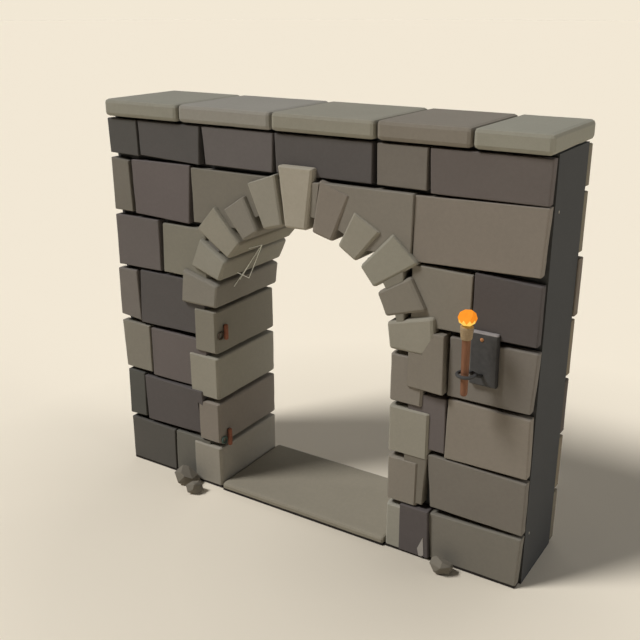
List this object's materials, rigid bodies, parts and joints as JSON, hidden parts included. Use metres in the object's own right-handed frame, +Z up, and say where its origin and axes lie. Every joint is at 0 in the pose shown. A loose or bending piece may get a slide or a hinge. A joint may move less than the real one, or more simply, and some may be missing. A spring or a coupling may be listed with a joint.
{
  "type": "stone wall with archway",
  "caption": "Free-standing masonry wall with a round-arched doorway, coping, threshold, wall torch and gate pintles.",
  "frame": {"origin": "on the ground, in the middle of the doorway and of the wall's thickness", "axes": "+X along the wall to the right as seen from the front, -Y out of the front face, +Z up"},
  "size_m": [4.04, 1.2379, 3.495],
  "materials": {
    "core_masonry": "matt dark grey rubble and mortar core",
    "facing_stone": "matt squared stones in brown, purple-grey and dark grey",
    "dressed_stone": "matt pale grey-brown dressed stone, arrises worn",
    "coping_stone": "matt pale grey-brown slabs with wide chamfers",
    "threshold_stone": "matt grey-brown slab, worn by feet",
    "wrought_iron": "blackened wrought iron",
    "rusty_iron": "iron with an even coat of rust",
    "torch_wood": "dull brown turned wood",
    "torch_cloth": "tan cloth wound tight",
    "torch_fire": "glowing orange"
  },
  "bodies": {
    "root": {"left_pier_core": "core_masonry", "right_pier_core": "core_masonry", "left_spandrel_core": "core_masonry", "right_spandrel_core": "core_masonry", "front_course_1": "facing_stone", "front_course_2": "facing_stone", "front_course_3": "facing_stone", "front_course_4": "facing_stone", "front_course_5": "facing_stone", "front_course_6": "facing_stone", "front_course_7": "facing_stone", "back_course_1": "facing_stone", "back_course_2": "facing_stone", "back_course_3": "facing_stone", "back_course_4": "facing_stone", "back_course_5": "facing_stone", "back_course_6": "facing_stone", "back_course_7": "facing_stone", "left_jamb": "dressed_stone", "right_jamb": "dressed_stone", "keystone": "dressed_stone", "left_voussoir_1": "dressed_stone", "left_voussoir_2": "dressed_stone", "left_voussoir_3": "dressed_stone", "left_voussoir_4": "dressed_stone", "left_voussoir_5": "dressed_stone", "right_voussoir_1": "dressed_stone", "right_voussoir_2": "dressed_stone", "right_voussoir_3": "dressed_stone", "right_voussoir_4": "dressed_stone", "right_voussoir_5": "dressed_stone", "threshold": "threshold_stone", "coping_1": "coping_stone", "coping_2": "coping_stone", "coping_3": "coping_stone", "coping_4": "coping_stone", "coping_5": "coping_stone", "torch_plate": "wrought_iron", "torch_ring": "wrought_iron", "torch_shaft": "torch_wood", "torch_wrap": "torch_cloth", "torch_flame": "torch_fire", "upper_pintle": "rusty_iron", "lower_pintle": "rusty_iron", "fallen_stones": "facing_stone"}
  },
  "joints": []
}
